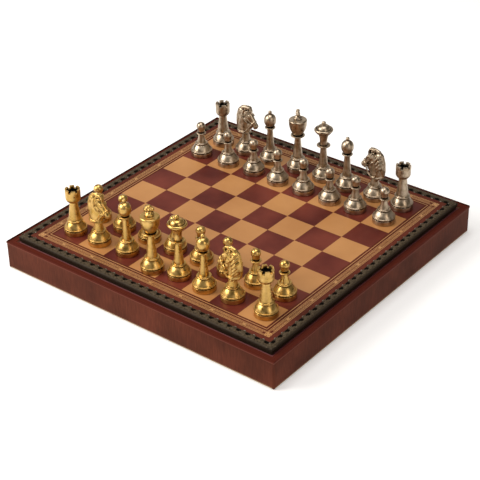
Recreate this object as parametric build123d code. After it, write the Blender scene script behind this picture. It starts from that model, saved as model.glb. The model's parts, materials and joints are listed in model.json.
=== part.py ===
from build123d import *
import math
import os

# Chess set with board: a flat leatherette-covered box, a framed board that drops into it as
# its lid, and thirty-two metal chessmen standing on the board.
# Millimetres. Origin: centre of the box's underside. +Z up, the gold side faces -Y.

# ---------------------------------------------------------------- driving dimensions: board
SQUARE = 35.0                 # side of one square
SQUARES_PER_SIDE = 8
BORDER_WIDTH = 17.5           # leatherette between the squares and the metal moulding
MOULDING_WIDTH = 10.0         # bronze moulding, seen from above
MOULDING_REBATE = 2.5         # how far the moulding laps over the board panel
MOULDING_RISE = 1.2           # crest of the moulding above the playing surface
PANEL_THICKNESS = 6.0         # wooden board panel
SHEET_THICKNESS = 0.8         # leatherette of the squares and the border
FOIL_THICKNESS = 0.1          # gold foil tooling on the border
UNDERFELT_THICKNESS = 0.6     # felt glued under the board panel

RULE_WIDTH = 0.6              # one gold rule
INNER_RULE_OFFSET = 2.4       # squares' edge to the single gold rule
BAND_OFFSET = 5.4             # squares' edge to the tooled band
BAND_WIDTH = 6.6              # tooled band, with its two outer rules

# ---------------------------------------------------------------- driving dimensions: box
WALL_THICKNESS = 7.4          # wooden wall
WRAP_THICKNESS = 0.6          # leatherette that covers the walls
LID_GAP = 0.5                 # clearance between the moulding and the walls
BOX_HEIGHT = 31.4             # floor to the ledge around the board
FELT_THICKNESS = 0.8          # felt under the box
FELT_INSET = 1.4              # felt stays this far inside the walls
BASE_THICKNESS = 3.2          # bottom panel
LINING_THICKNESS = 0.8        # lining of the storage space
RAIL_WIDTH = 6.0              # rails that carry the board
DIVIDER_THICKNESS = 4.0       # storage dividers
CORNER_RADIUS = 3.0           # upright corners of the covered box
LEDGE_RADIUS = 1.2            # softened top edge of the covering
MOULDING_DROP = 1.8           # moulding foot below the ledge

# ---------------------------------------------------------------- driving dimensions: men
PLINTH_RADIUS = 12.1          # lower drum of every man
PLINTH_HEIGHT = 5.4
PLINTH_EDGE = 0.5             # rounded lower edge
GROOVE_DEPTH = 0.6
GROOVE_HEIGHT = 0.8
LIP_HEIGHT = 1.3              # upright lip of the dome
DOME_HEIGHT = 6.9             # lip to the ring
DOME_TOP_RADIUS = 7.0
RING_HEIGHT = 1.6             # bead on top of the dome
PAD_RADIUS = 11.0             # felt disc under each man
PAD_THICKNESS = 0.8
PAD_PROUD = 0.2               # felt that stands below the metal
GAP_HEIGHT = 1.1              # dark gap between a collar and a head
SAUCER_HEIGHT = 2.0           # collar that looks like a thin saucer

PAWN = {"ring": 7.2, "foot": 5.4, "neck": 3.1, "collar_z": 26.4, "collar": 5.4, "ball": 5.1, "ball_z": 36.0}
BISHOP = {"ring": 7.7, "foot": 5.3, "neck": 3.1, "collar_z": 41.4, "collar": 5.8, "head": 6.7,
          "head_z": 52.2, "bud": 2.1, "bud_z": 61.2}
QUEEN = {"ring": 7.4, "foot": 5.4, "neck": 3.3, "collar_z": 41.0, "collar": 7.4, "waist": 4.2,
         "rim": 10.2, "rim_z": 61.6, "bud": 2.4, "bud_z": 70.3}
KING = {"ring": 8.0, "foot": 5.8, "neck": 3.3, "collar_z": 42.4, "collar": 7.8, "cup_foot": 5.3,
        "rim": 10.0, "rim_z": 62.2, "bud": 2.3, "bud_z": 66.6, "cross_height": 10.4,
        "cross_width": 9.6, "cross_depth": 2.8}
ROOK = {"ring": 8.2, "foot": 7.0, "neck": 4.3, "neck_z": 36.5, "crown": 8.1, "crown_z": 41.0,
        "top_z": 52.0, "well": 5.7, "well_depth": 5.6, "notch_depth": 3.2, "notch_width": 3.4, "merlons": 6}
KNIGHT = {"ring": 7.4, "foot": 5.6, "neck": 3.8, "collar_z": 26.0, "head_depth": 10.0}

# ---------------------------------------------------------------- worked-out places
PLAY_HALF = SQUARE * SQUARES_PER_SIDE / 2
BORDER_HALF = PLAY_HALF + BORDER_WIDTH
MOULDING_HALF = BORDER_HALF + MOULDING_WIDTH
PANEL_HALF = BORDER_HALF + MOULDING_REBATE
WALL_INNER = MOULDING_HALF + LID_GAP
WALL_OUTER = WALL_INNER + WALL_THICKNESS
BOX_HALF = WALL_OUTER + WRAP_THICKNESS

WALL_TOP = BOX_HEIGHT - WRAP_THICKNESS
BOARD_UNDERSIDE = BOX_HEIGHT - MOULDING_DROP
PANEL_UNDERSIDE = BOARD_UNDERSIDE + UNDERFELT_THICKNESS
PANEL_TOP = PANEL_UNDERSIDE + PANEL_THICKNESS
SURFACE = PANEL_TOP + SHEET_THICKNESS
BASE_TOP = FELT_THICKNESS + BASE_THICKNESS
LINING_TOP = BASE_TOP + LINING_THICKNESS
RAIL_INNER = WALL_INNER - RAIL_WIDTH

LIP_Z = PLINTH_HEIGHT + GROOVE_HEIGHT
DOME_Z = LIP_Z + LIP_HEIGHT
RING_Z = DOME_Z + DOME_HEIGHT
STEM_Z = RING_Z + RING_HEIGHT

SIDES = {"front": 180.0, "right": 270.0, "back": 0.0, "left": 90.0}

os.makedirs("parts", exist_ok=True)


def save(name, shape):
    """Write one sub-part to its own STEP file."""
    export_step(shape, f"parts/{name}.step")


# ---------------------------------------------------------------- flat pieces
def slab(half_x, half_y, z0, z1, x=0.0, y=0.0):
    """A plain block from z0 up to z1, centred on x, y."""
    return Pos(x, y, (z0 + z1) / 2) * Box(2 * half_x, 2 * half_y, z1 - z0)


def square_ring(outer, inner, z0, z1):
    """A square frame, given as half sides."""
    return slab(outer, outer, z0, z1) - slab(inner, inner, z0 - 1, z1 + 1)


def side_wedge(reach, z0, z1, turn):
    """The quarter of the plan that belongs to one side, cut along the two mitres."""
    outline = Polyline((0, 0), (reach, reach), (-reach, reach), close=True)
    wedge = extrude(make_face(outline), z1 - z0)
    return Rot(0, 0, turn) * (Pos(0, 0, z0) * wedge)


def chequer(parity):
    """Thirty-two separate tiles of one colour; the near-left corner square is dark."""
    tiles = []
    for column in range(SQUARES_PER_SIDE):
        for row in range(SQUARES_PER_SIDE):
            if (column + row) % 2 == parity:
                x = (column + 0.5) * SQUARE - PLAY_HALF
                y = (row + 0.5) * SQUARE - PLAY_HALF
                tiles.append(slab(SQUARE / 2, SQUARE / 2, PANEL_TOP, SURFACE, x, y))
    return Compound(children=tiles)


# ---------------------------------------------------------------- box
def make_box():
    save("base_felt", slab(WALL_OUTER - FELT_INSET, WALL_OUTER - FELT_INSET, 0, FELT_THICKNESS))
    save("base_panel", slab(WALL_INNER, WALL_INNER, FELT_THICKNESS, BASE_TOP))

    core_radius = CORNER_RADIUS - WRAP_THICKNESS
    core = extrude(RectangleRounded(2 * WALL_OUTER, 2 * WALL_OUTER, core_radius), WALL_TOP - FELT_THICKNESS)
    core = Pos(0, 0, FELT_THICKNESS) * core
    core -= slab(WALL_INNER, WALL_INNER, 0, BOX_HEIGHT)
    for side, turn in SIDES.items():
        save(f"wall_{side}", core & side_wedge(2 * BOX_HALF, 0, BOX_HEIGHT, turn))

    cover = extrude(RectangleRounded(2 * BOX_HALF, 2 * BOX_HALF, CORNER_RADIUS), BOX_HEIGHT - FELT_THICKNESS)
    cover = Pos(0, 0, FELT_THICKNESS) * cover
    cover = fillet(cover.faces().sort_by(Axis.Z)[-1].edges(), LEDGE_RADIUS)
    inside = extrude(RectangleRounded(2 * WALL_OUTER, 2 * WALL_OUTER, core_radius), WALL_TOP - FELT_THICKNESS)
    cover -= Pos(0, 0, FELT_THICKNESS) * inside
    cover -= slab(WALL_INNER, WALL_INNER, 0, BOX_HEIGHT + 1)
    save("leatherette_wrap", cover)

    save("storage_lining", slab(RAIL_INNER, RAIL_INNER, BASE_TOP, LINING_TOP))
    rails = square_ring(WALL_INNER, RAIL_INNER, BASE_TOP, BOARD_UNDERSIDE)
    for side, turn in SIDES.items():
        save(f"rail_{side}", rails & side_wedge(2 * BOX_HALF, 0, BOX_HEIGHT, turn))
    half = DIVIDER_THICKNESS / 2
    length = RAIL_INNER - half
    save("divider_long", slab(RAIL_INNER, half, LINING_TOP, BOARD_UNDERSIDE))
    save("divider_front", slab(half, length / 2, LINING_TOP, BOARD_UNDERSIDE, 0, -half - length / 2))
    save("divider_back", slab(half, length / 2, LINING_TOP, BOARD_UNDERSIDE, 0, half + length / 2))


# ---------------------------------------------------------------- board
def moulding_section():
    """Section of the moulding, from its inner lip to its rounded outer side."""
    crest = SURFACE + MOULDING_RISE
    inner, outer = BORDER_HALF, MOULDING_HALF
    shoulder = outer - 0.34 * MOULDING_WIDTH
    with BuildLine() as line:
        Polyline((PANEL_HALF, BOARD_UNDERSIDE), (PANEL_HALF, PANEL_TOP), (inner, PANEL_TOP),
                 (inner, SURFACE + 0.4 * MOULDING_RISE), (inner + 0.25 * MOULDING_WIDTH, crest),
                 (shoulder, crest))
        JernArc(start=(shoulder, crest), tangent=(1, 0), radius=outer - shoulder, arc_size=-90)
        Line((outer, crest - (outer - shoulder)), (outer, BOARD_UNDERSIDE))
        Line((outer, BOARD_UNDERSIDE), (PANEL_HALF, BOARD_UNDERSIDE))
    return make_face(line.line)


def make_board():
    save("board_underfelt", slab(PANEL_HALF, PANEL_HALF, BOARD_UNDERSIDE, PANEL_UNDERSIDE))
    save("board_panel", slab(PANEL_HALF, PANEL_HALF, PANEL_UNDERSIDE, PANEL_TOP))
    save("border_sheet", square_ring(BORDER_HALF, PLAY_HALF, PANEL_TOP, SURFACE))
    save("dark_squares", chequer(0))
    save("light_squares", chequer(1))

    foil_top = SURFACE + FOIL_THICKNESS
    rule = PLAY_HALF + INNER_RULE_OFFSET
    save("gold_rule", square_ring(rule + RULE_WIDTH, rule, SURFACE, foil_top))
    band = PLAY_HALF + BAND_OFFSET
    band_outer = band + BAND_WIDTH
    frame = square_ring(band_outer, band, SURFACE, foil_top)
    middle = (band + band_outer) / 2
    corners = [slab(BAND_WIDTH / 2, BAND_WIDTH / 2, SURFACE, foil_top, sx * middle, sy * middle)
               for sx in (-1, 1) for sy in (-1, 1)]
    save("corner_rosettes", Compound(children=corners))
    for corner in corners:
        frame -= corner
    save("tooled_band", Compound(children=frame.solids()))

    bar = extrude(Plane.XZ * moulding_section(), 2 * MOULDING_HALF, both=True)
    for side, turn in SIDES.items():
        piece = (Rot(0, 0, 90) * bar) & side_wedge(MOULDING_HALF + 1, 0, SURFACE + 2 * MOULDING_RISE, 0)
        save(f"moulding_{side}", Rot(0, 0, turn) * piece)


# ---------------------------------------------------------------- turned profiles
def base_steps(ring):
    """Plinth, groove, dome and bead, which every man shares. Steps are (radius, height)
    for a straight run, or (middle, end) pairs for an arc."""
    r = PLINTH_RADIUS
    dome_mid = (DOME_TOP_RADIUS + 0.6 * (r - DOME_TOP_RADIUS), DOME_Z + 0.5 * DOME_HEIGHT)
    bead_mid = (ring, RING_Z + RING_HEIGHT / 2)
    return [
        (PAD_RADIUS, PAD_PROUD),
        (r - PLINTH_EDGE, PAD_PROUD),
        (r, PAD_PROUD + PLINTH_EDGE),
        (r, PLINTH_HEIGHT),
        (r - GROOVE_DEPTH, PLINTH_HEIGHT),
        (r - GROOVE_DEPTH, LIP_Z),
        (r, LIP_Z),
        (r, DOME_Z),
        (dome_mid, (DOME_TOP_RADIUS, RING_Z)),
        (bead_mid, (DOME_TOP_RADIUS - 0.2, STEM_Z)),
    ]


def stem_steps(foot, neck, top):
    """A stem that narrows in a shallow hollow curve."""
    middle = (neck + 0.36 * (foot - neck), STEM_Z + 0.5 * (top - STEM_Z))
    return [(foot, STEM_Z), (middle, (neck, top))]


def saucer_steps(neck, rim, z, gap_radius):
    """The thin saucer collar and the dark gap above it."""
    top = z + SAUCER_HEIGHT
    return [
        ((neck + 0.65 * (rim - neck), z + 0.2 * SAUCER_HEIGHT), (rim, z + 0.65 * SAUCER_HEIGHT)),
        (rim - 0.1, top),
        (gap_radius, top - 0.2 * SAUCER_HEIGHT),
        (gap_radius, top + GAP_HEIGHT),
    ]


def ball_steps(radius, centre, start):
    """A ball from the radius where it leaves its neck up to its top on the axis."""
    foot = centre - math.sqrt(radius ** 2 - start ** 2)
    return [(start, foot), ((radius, centre), (0.0, centre + radius))]


def turned(steps):
    """Revolve a profile about the axis; the recess for the felt disc is part of it."""
    start = (0.0, PAD_THICKNESS)
    corner = (PAD_RADIUS, PAD_THICKNESS)
    edges = [Edge.make_line(Vector(start[0], 0, start[1]), Vector(corner[0], 0, corner[1]))]
    here = corner
    for step in steps:
        arc = isinstance(step[0], tuple)
        end = step[1] if arc else step
        if not arc and math.dist(here, end) < 1e-6:
            continue
        a = Vector(here[0], 0, here[1])
        b = Vector(end[0], 0, end[1])
        if arc:
            edges.append(Edge.make_three_point_arc(a, Vector(step[0][0], 0, step[0][1]), b))
        else:
            edges.append(Edge.make_line(a, b))
        here = end
    edges.append(Edge.make_line(Vector(here[0], 0, here[1]), Vector(0, 0, start[1])))
    return revolve(make_face(Wire(edges)), Axis.Z, 360)


# ---------------------------------------------------------------- the six kinds of men
def pawn():
    p = PAWN
    neck = 0.76 * p["ball"]
    steps = base_steps(p["ring"]) + stem_steps(p["foot"], p["neck"], p["collar_z"])
    steps += saucer_steps(p["neck"], p["collar"], p["collar_z"], p["neck"])
    steps += [(neck, p["collar_z"] + SAUCER_HEIGHT + 1.8 * GAP_HEIGHT)]
    steps += ball_steps(p["ball"], p["ball_z"], neck)
    return turned(steps)


def bishop():
    p = BISHOP
    gap = p["neck"] + 0.3
    head_foot = p["collar_z"] + SAUCER_HEIGHT + GAP_HEIGHT
    bud_neck = 0.6 * p["bud"]
    bud_foot = p["bud_z"] - math.sqrt(p["bud"] ** 2 - bud_neck ** 2)
    steps = base_steps(p["ring"]) + stem_steps(p["foot"], p["neck"], p["collar_z"])
    steps += saucer_steps(p["neck"], p["collar"], p["collar_z"], gap)
    steps += [
        (gap + 0.7, head_foot),
        ((0.92 * p["head"], head_foot + 0.42 * (p["head_z"] - head_foot)), (p["head"], p["head_z"])),
        ((0.74 * p["head"], p["head_z"] + 0.68 * (bud_foot - p["head_z"])), (bud_neck, bud_foot)),
    ]
    steps += ball_steps(p["bud"], p["bud_z"], bud_neck)
    return turned(steps)


def queen():
    p = QUEEN
    waist_z = p["collar_z"] + SAUCER_HEIGHT + GAP_HEIGHT + 2.0
    rim, rim_z = p["rim"], p["rim_z"]
    bud_neck = 0.6 * p["bud"]
    bud_foot = p["bud_z"] - math.sqrt(p["bud"] ** 2 - bud_neck ** 2)
    steps = base_steps(p["ring"]) + stem_steps(p["foot"], p["neck"], p["collar_z"])
    steps += saucer_steps(p["neck"], p["collar"], p["collar_z"], p["waist"])
    steps += [
        (p["waist"], waist_z),
        ((0.55 * rim, waist_z + 0.6 * (rim_z - waist_z)), (0.8 * rim, rim_z - 2.2)),
        ((rim, rim_z), (0.84 * rim, rim_z + 1.4)),
        (0.76 * rim, rim_z + 0.8),
        ((0.54 * rim, rim_z + 4.4), (bud_neck, bud_foot)),
    ]
    steps += ball_steps(p["bud"], p["bud_z"], bud_neck)
    return turned(steps)


def king():
    p = KING
    cup_z = p["collar_z"] + SAUCER_HEIGHT + GAP_HEIGHT
    rim, rim_z = p["rim"], p["rim_z"]
    bud_neck = 0.7 * p["bud"]
    bud_foot = p["bud_z"] - math.sqrt(p["bud"] ** 2 - bud_neck ** 2)
    steps = base_steps(p["ring"]) + stem_steps(p["foot"], p["neck"], p["collar_z"])
    steps += saucer_steps(p["neck"], p["collar"], p["collar_z"], p["cup_foot"] - 0.5)
    steps += [
        (p["cup_foot"], cup_z),
        ((0.86 * rim, cup_z + 0.42 * (rim_z - cup_z)), (rim, rim_z)),
        ((0.98 * rim, rim_z + 1.2), (0.9 * rim, rim_z + 1.6)),
        (bud_neck, bud_foot),
    ]
    steps += ball_steps(p["bud"], p["bud_z"], bud_neck)
    body = turned(steps)
    # The cross on top is a flat cross with flared arms, standing in the X-Z plane.
    low = p["bud_z"] + 0.4 * p["bud"]
    high = p["bud_z"] + p["cross_height"]
    waist = p["cross_depth"] / 2
    arm = p["cross_width"] / 2
    middle = low + 0.56 * (high - low)
    flare = 0.5 * arm
    outline = Polyline(
        (-flare * 0.7, low), (flare * 0.7, low), (waist * 0.6, middle - waist * 0.6),
        (arm, middle - flare), (arm, middle + flare), (waist * 0.6, middle + waist * 0.6),
        (flare, high), (-flare, high), (-waist * 0.6, middle + waist * 0.6),
        (-arm, middle + flare), (-arm, middle - flare), (-waist * 0.6, middle - waist * 0.6),
        close=True)
    cross = extrude(Plane.XZ * make_face(outline), waist, both=True)
    return body + cross


def rook():
    p = ROOK
    crown, top = p["crown"], p["top_z"]
    steps = base_steps(p["ring"])
    steps += [
        (p["foot"], STEM_Z),
        ((p["neck"] + 0.3 * (p["foot"] - p["neck"]), STEM_Z + 0.55 * (p["neck_z"] - STEM_Z)), (p["neck"], p["neck_z"])),
        ((crown - 0.35 * (crown - p["neck"]), p["neck_z"] + 0.45 * (p["crown_z"] - p["neck_z"])), (crown, p["crown_z"])),
        (crown, top),
        (p["well"], top),
        (p["well"], top - p["well_depth"]),
        (0.0, top - p["well_depth"]),
    ]
    body = turned(steps)
    notch = Box(2 * crown, p["notch_width"], 2 * p["notch_depth"])
    for i in range(p["merlons"]):
        turn = (i + 0.5) * 360 / p["merlons"]
        body -= Rot(0, 0, turn) * (Pos(crown, 0, top) * notch)
    return body


def knight():
    """Turned foot with a horse's head and neck that look along +X."""
    p = KNIGHT
    z = p["collar_z"]
    body = turned(base_steps(p["ring"]) + stem_steps(p["foot"], p["neck"], z) + [(0.0, z)])
    with BuildLine() as line:
        Spline((-6.5, z), (-10.2, z + 5), (-11.2, z + 14), (-9.6, z + 24), (-4.5, z + 31), (1.5, z + 32.6))
        Spline((1.5, z + 32.6), (5.2, z + 29), (9.2, z + 22.5), (14.0, z + 14.5))
        Spline((14.0, z + 14.5), (15.8, z + 11.0), (14.0, z + 8.8), (9.5, z + 9.2))
        Line((9.5, z + 9.2), (8.2, z + 3.8))
        Line((8.2, z + 3.8), (4.5, z - 0.2))
        Line((4.5, z - 0.2), (-6.5, z))
    head = extrude(Plane.XZ * make_face(line.line), p["head_depth"] / 2, both=True)
    return body + head


MAKERS = {"pawn": pawn, "rook": rook, "knight": knight, "bishop": bishop, "queen": queen, "king": king}

# Back row from the left of the gold player to the right; both colours stand the same way.
BACK_ROW = ["rook_left", "knight_left", "bishop_left", "king", "queen", "bishop_right", "knight_right",
            "rook_right"]

# The men stand where a hand sets them down: these stand a little off the middle of their square.
SET_DOWN = {
    "gold_king": (5.5, -7.0), "gold_rook_right": (4.5, -0.5), "gold_rook_left": (-2.0, -0.5),
    "gold_knight_left": (-2.5, -1.0), "gold_knight_right": (-2.5, 1.0), "gold_bishop_left": (-1.5, 2.0),
    "gold_bishop_right": (-1.0, -2.0), "silver_pawn_1": (-3.5, -0.5), "silver_pawn_3": (0.0, 2.0),
    "silver_pawn_7": (-2.5, 1.5), "silver_king": (1.0, 1.0), "silver_queen": (1.0, 1.0),
    "silver_bishop_left": (-1.0, -1.0), "silver_bishop_right": (-1.0, -1.0),
    "silver_knight_left": (-1.0, -1.0),
}

# Turn about the upright axis: the knights of each row look towards its middle.
FACING = {"knight_left": 0.0, "knight_right": 180.0}


def stand(shape, name, column, row):
    """Put one man and the felt disc in its foot on its square."""
    kind = name.split("_", 1)[1]
    dx, dy = SET_DOWN.get(name, (0.0, 0.0))
    x = (column + 0.5) * SQUARE - PLAY_HALF + dx
    y = (row + 0.5) * SQUARE - PLAY_HALF + dy
    pad = Pos(0, 0, PAD_THICKNESS / 2) * Cylinder(PAD_RADIUS, PAD_THICKNESS)
    place = Pos(x, y, SURFACE) * Rot(0, 0, FACING.get(kind, 0.0))
    save(name, Compound(children=[place * shape, place * pad]))


def make_men():
    shapes = {kind: maker() for kind, maker in MAKERS.items()}
    last = SQUARES_PER_SIDE - 1
    for colour, back_row, pawn_row in (("gold", 0, 1), ("silver", last, last - 1)):
        for column, man in enumerate(BACK_ROW):
            stand(shapes[man.split("_")[0]], f"{colour}_{man}", column, back_row)
            stand(shapes["pawn"], f"{colour}_pawn_{column + 1}", column, pawn_row)


make_box()
make_board()
make_men()
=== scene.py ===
# %% [markdown]
# # A chess set on a leatherette box board
#
# This lesson dresses a packed mechanical model of a chess set. The frame gives every wall, tile
# and man its place and size. The cells below add what a mechanical model leaves out: soft
# leather edges, a cast bronze moulding, gold tooling, and the turned and chased metal men.

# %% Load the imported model
import json
import math

import bmesh
import bpy
from mathutils import Euler, Matrix, Vector

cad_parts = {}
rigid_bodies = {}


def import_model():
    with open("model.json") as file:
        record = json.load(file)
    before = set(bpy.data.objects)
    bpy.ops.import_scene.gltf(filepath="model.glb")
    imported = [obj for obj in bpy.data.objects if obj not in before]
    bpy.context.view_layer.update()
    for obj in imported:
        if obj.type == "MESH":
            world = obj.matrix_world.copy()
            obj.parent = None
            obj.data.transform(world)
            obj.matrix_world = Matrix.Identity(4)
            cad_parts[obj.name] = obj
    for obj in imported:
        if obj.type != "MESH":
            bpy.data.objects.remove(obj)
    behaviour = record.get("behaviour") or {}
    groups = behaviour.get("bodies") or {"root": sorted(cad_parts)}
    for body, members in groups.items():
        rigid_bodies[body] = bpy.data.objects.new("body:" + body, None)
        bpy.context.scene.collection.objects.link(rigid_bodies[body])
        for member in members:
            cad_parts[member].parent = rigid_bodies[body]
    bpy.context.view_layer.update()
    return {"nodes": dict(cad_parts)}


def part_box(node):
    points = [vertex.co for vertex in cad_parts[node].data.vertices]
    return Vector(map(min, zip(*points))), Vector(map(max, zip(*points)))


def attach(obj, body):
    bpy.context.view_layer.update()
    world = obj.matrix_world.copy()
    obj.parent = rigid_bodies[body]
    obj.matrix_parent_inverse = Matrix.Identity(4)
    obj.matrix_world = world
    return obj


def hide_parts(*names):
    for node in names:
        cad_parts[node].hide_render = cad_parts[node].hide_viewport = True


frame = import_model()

MM = 0.001

# %% [markdown]
# ## Sizes that the frame already knows
#
# A piece must sit exactly where its node sits, so places are read from the nodes' boxes and
# never typed twice. Everything is measured in millimetres while a piece is shaped, and the
# finished mesh is scaled to metres as it is placed.

# %% Read the main sizes, in millimetres
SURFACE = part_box("light_squares")[1].z / MM
PLAY_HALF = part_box("gold_rule")[1].x / MM - 3.0
BORDER_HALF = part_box("border_sheet")[1].x / MM
MOULDING_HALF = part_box("moulding_front")[1].x / MM
MOULDING_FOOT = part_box("moulding_front")[0].z / MM
BOX_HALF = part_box("leatherette_wrap")[1].x / MM
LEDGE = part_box("leatherette_wrap")[1].z / MM
WRAP_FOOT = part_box("leatherette_wrap")[0].z / MM
WALL_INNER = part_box("base_panel")[1].x / MM
BAND_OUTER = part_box("tooled_band")[1].x / MM
SQUARE = PLAY_HALF / 4
PLINTH_RADIUS = (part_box("gold_pawn_1")[1].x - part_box("gold_pawn_1")[0].x) / MM / 2
print(f"surface {SURFACE:.1f}, square {SQUARE:.1f}, box half {BOX_HALF:.1f}, plinth {PLINTH_RADIUS:.2f}")

# %% [markdown]
# ## The camera
#
# A long lens far away keeps the squares nearly parallel. The camera is built from three unit
# vectors: to the right, up, and back towards the lens. A hand rarely holds a camera quite
# level, so a small roll is part of the pose.

# %% Set the camera
VIEW_AZIMUTH, VIEW_ELEVATION, VIEW_ROLL = 38.79, 32.09, -1.13
VIEW_DISTANCE = 43.52 * SQUARE * MM
VIEW_SHIFT = (-0.043 * SQUARE * MM, -0.623 * SQUARE * MM)
LENS, SENSOR = 107.47, 36.0


def camera_axes(azimuth, elevation, roll):
    """Right, up and back vectors of a camera that looks at the board."""
    a, e, r = (math.radians(v) for v in (azimuth, elevation, roll))
    back = Vector((math.sin(a) * math.cos(e), -math.cos(a) * math.cos(e), math.sin(e)))
    right = Vector((0, 0, 1)).cross(back).normalized()
    up = back.cross(right)
    return right * math.cos(r) + up * math.sin(r), up * math.cos(r) - right * math.sin(r), back


def make_camera():
    right, up, back = camera_axes(VIEW_AZIMUTH, VIEW_ELEVATION, VIEW_ROLL)
    aim = Vector((0, 0, SURFACE * MM)) + right * VIEW_SHIFT[0] + up * VIEW_SHIFT[1]
    place = aim + back * VIEW_DISTANCE
    data = bpy.data.cameras.new("camera")
    data.lens = LENS
    data.sensor_width = SENSOR
    data.clip_end = 20.0
    camera = bpy.data.objects.new("camera", data)
    bpy.context.scene.collection.objects.link(camera)
    camera.matrix_world = Matrix.Translation(place) @ Matrix((right, up, back)).transposed().to_4x4()
    bpy.context.scene.camera = camera


make_camera()
print("camera azimuth", VIEW_AZIMUTH, "elevation", VIEW_ELEVATION, "lens", LENS)

# %% [markdown]
# ## Floor and lights
#
# Polished metal shows its surroundings more than itself. Four soft boxes give it long bright
# shapes, and a dim world between them gives it the darker bands that make it read as metal.
# The floor is almost white and faintly glowing, so that it stays clean at every angle.

# %% Floor, world and soft boxes
FLOOR_SIZE = 8.0


def make_floor():
    bm = bmesh.new()
    bmesh.ops.create_grid(bm, x_segments=2, y_segments=2, size=FLOOR_SIZE / 2)
    mesh = bpy.data.meshes.new("floor")
    bm.to_mesh(mesh)
    bm.free()
    floor = bpy.data.objects.new("floor", mesh)
    bpy.context.scene.collection.objects.link(floor)
    paint = bpy.data.materials.new("floor_paper")
    paint.use_nodes = True
    shader = paint.node_tree.nodes["Principled BSDF"]
    shader.inputs["Base Color"].default_value = (0.86, 0.86, 0.86, 1)
    shader.inputs["Roughness"].default_value = 0.9
    shader.inputs["Emission Color"].default_value = (1.0, 0.97, 0.94, 1)
    shader.inputs["Emission Strength"].default_value = 0.30
    mesh.materials.append(paint)


def make_world():
    world = bpy.data.worlds.new("studio")
    world.use_nodes = True
    shade = world.node_tree.nodes["Background"]
    shade.inputs["Color"].default_value = (1.0, 0.94, 0.86, 1)
    shade.inputs["Strength"].default_value = 0.15
    bpy.context.scene.world = world


def soft_box(name, place, aim, size, power, tint=(1, 1, 1)):
    data = bpy.data.lights.new(name, "AREA")
    data.shape = "RECTANGLE"
    data.size, data.size_y = size
    data.energy = power
    data.color = tint
    light = bpy.data.objects.new(name, data)
    bpy.context.scene.collection.objects.link(light)
    light.location = place
    light.rotation_euler = (Vector(aim) - Vector(place)).to_track_quat("-Z", "Y").to_euler()


make_floor()
make_world()
soft_box("key_box", (-1.35, -1.30, 1.25), (0, 0, 0), (1.3, 1.1), 43, (1.0, 0.97, 0.92))
soft_box("side_box", (1.7, -0.5, 0.9), (0, 0, 0), (0.6, 1.0), 6, (1.0, 0.92, 0.82))
soft_box("back_box", (-1.15, 1.45, 1.15), (0, 0, 0), (2.2, 1.1), 4.5, (1.0, 0.97, 0.93))
soft_box("top_box", (0.0, -0.1, 2.1), (0, 0, 0), (1.2, 1.2), 22)
bpy.context.scene.view_settings.view_transform = "Standard"

# %% [markdown]
# ## Shared shader effects
#
# Leather grain, painted shade with grime, and casting marks each serve more than one finish, so
# each is a node group with named sockets. The groups give out only masks and heights. The
# Principled shader stays in every material, where an exporter can read it. A few helpers come
# first, so that each group takes only a few lines.

# %% Small helpers for nodes
FLOAT = "NodeSocketFloat"
MM_IN_METRE = 1000.0


def new_group(name, inputs, outputs):
    """A shader node group with number sockets, and its in and out nodes."""
    group = bpy.data.node_groups.new(name, "ShaderNodeTree")
    for label, value in inputs.items():
        group.interface.new_socket(label, in_out="INPUT", socket_type=FLOAT).default_value = value
    for label in outputs:
        group.interface.new_socket(label, in_out="OUTPUT", socket_type=FLOAT)
    return group, group.nodes.new("NodeGroupInput"), group.nodes.new("NodeGroupOutput")


def add_node(tree, kind, links=(), **settings):
    """A node with its properties set and some of its inputs set or linked."""
    node = tree.nodes.new(kind)
    for key, value in settings.items():
        setattr(node, key, value)
    for socket, source in dict(links).items():
        target = node.inputs[socket]
        if isinstance(source, bpy.types.NodeSocket):
            tree.links.new(source, target)
        else:
            target.default_value = source
    return node


def object_place(tree):
    """The place of the point being shaded, in metres."""
    return add_node(tree, "ShaderNodeTexCoord").outputs["Object"]


def noise(tree, place, scale, detail=2.0, **sockets):
    """Cloudy noise at a place."""
    links = {"Vector": place, "Scale": scale, "Detail": detail, **sockets}
    return add_node(tree, "ShaderNodeTexNoise", links)


def maths(tree, operation, a, b, clamp=False):
    """One sum on two numbers or sockets."""
    return add_node(tree, "ShaderNodeMath", {0: a, 1: b}, operation=operation, use_clamp=clamp).outputs[0]


def remap(tree, value, low, high, to_low=0.0, to_high=1.0):
    """Stretch the range from low to high onto another range."""
    links = {"Value": value, "From Min": low, "From Max": high, "To Min": to_low, "To Max": to_high}
    return add_node(tree, "ShaderNodeMapRange", links).outputs[0]


def blend_colours(tree, factor, low, high):
    """Mix two colours by a factor; each is (red, green, blue) or a socket."""
    low, high = ((*c, 1) if isinstance(c, tuple) else c for c in (low, high))
    mix = add_node(tree, "ShaderNodeMix", {0: factor, 6: low, 7: high}, data_type="RGBA")
    return mix.outputs[2]


print("node helpers ready for Blender", bpy.app.version_string)


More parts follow.
